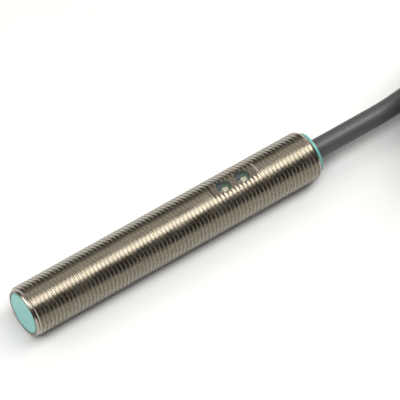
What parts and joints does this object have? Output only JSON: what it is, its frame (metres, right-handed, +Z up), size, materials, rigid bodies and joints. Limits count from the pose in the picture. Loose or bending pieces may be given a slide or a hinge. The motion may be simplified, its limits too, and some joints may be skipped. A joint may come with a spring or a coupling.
{
  "type": "proximity sensor",
  "caption": "Cylindrical inductive proximity sensor: threaded metal barrel, flush teal sensing face, indicator windows in a milled flat, fixed cable in a tied hank.",
  "frame": {"origin": "middle of the flat sensing face, on the barrel's axis", "axes": "+X along the barrel from the sensing face to the cable, +Z up through the indicator windows; the barrel lies on the plane z = -5.95 mm"},
  "size_m": [0.2175, 0.044, 0.023],
  "materials": {
    "nickel_brass": "nickel-plated turned brass, fine satin with bright crests",
    "teal_face": "moulded polybutylene terephthalate, pale teal, fine matt",
    "teal_cap": "moulded polybutylene terephthalate, teal, satin",
    "bare_brass": "bare turned brass",
    "ferrite": "sintered ferrite, dark grey, matt",
    "former_plastic": "natural moulded plastic",
    "enamelled_copper": "enamelled copper wire",
    "black_plastic": "black moulded plastic",
    "potting_resin": "cured casting resin, dark amber",
    "sleeve_film": "dark polyester film",
    "board_green": "glass-epoxy board with green solder mask",
    "ceramic_chip": "multilayer ceramic body with tinned ends",
    "resistor_chip": "black glazed chip with tinned ends",
    "moulded_chip": "black moulded epoxy package",
    "tantalum_chip": "yellow moulded tantalum package",
    "led_cream": "cream diode package with a clear top",
    "solder": "bright tin solder",
    "clear_lens": "clear moulded polycarbonate",
    "tinned_steel": "tinned steel ferrule",
    "seal_rubber": "black nitrile rubber",
    "cable_sheath": "dark grey flexible vinyl sheath, satin",
    "core_brown": "brown vinyl insulation",
    "core_blue": "blue vinyl insulation",
    "core_black": "black vinyl insulation",
    "tie_nylon": "natural white nylon",
    "bare_copper": "bare stranded copper"
  },
  "bodies": {
    "root": {"housing_tube": "nickel_brass", "front_cap": "teal_face", "shield_ring": "bare_brass", "ferrite_core": "ferrite", "coil_former": "former_plastic", "coil_winding": "enamelled_copper", "coil_leads": "enamelled_copper", "core_seat": "black_plastic", "front_potting": "potting_resin", "insulating_sleeve": "sleeve_film", "board_carrier": "black_plastic", "circuit_board": "board_green", "tank_capacitor": "ceramic_chip", "trimming_resistor": "resistor_chip", "oscillator_chip": "moulded_chip", "supply_capacitor": "tantalum_chip", "output_transistor": "moulded_chip", "surge_diode": "moulded_chip", "polarity_diode": "moulded_chip", "chip_resistors": "resistor_chip", "ceramic_capacitors": "ceramic_chip", "power_led": "led_cream", "switching_led": "led_cream", "solder_joints": "solder", "window_lens_front": "clear_lens", "window_lens_rear": "clear_lens", "rear_potting": "potting_resin", "clamp_ferrule": "tinned_steel", "cable_seal": "seal_rubber", "end_cap": "teal_cap", "sheath_end": "cable_sheath", "inner_core_brown": "core_brown", "inner_core_blue": "core_blue", "inner_core_black": "core_black", "cable_lead": "cable_sheath", "cable_hank": "cable_sheath", "cable_tail": "cable_sheath", "hank_tie_left": "tie_nylon", "hank_tie_right": "tie_nylon", "tail_core_brown": "core_brown", "tail_core_blue": "core_blue", "tail_core_black": "core_black", "tail_wire_brown": "bare_copper", "tail_wire_blue": "bare_copper", "tail_wire_black": "bare_copper"}
  },
  "joints": []
}
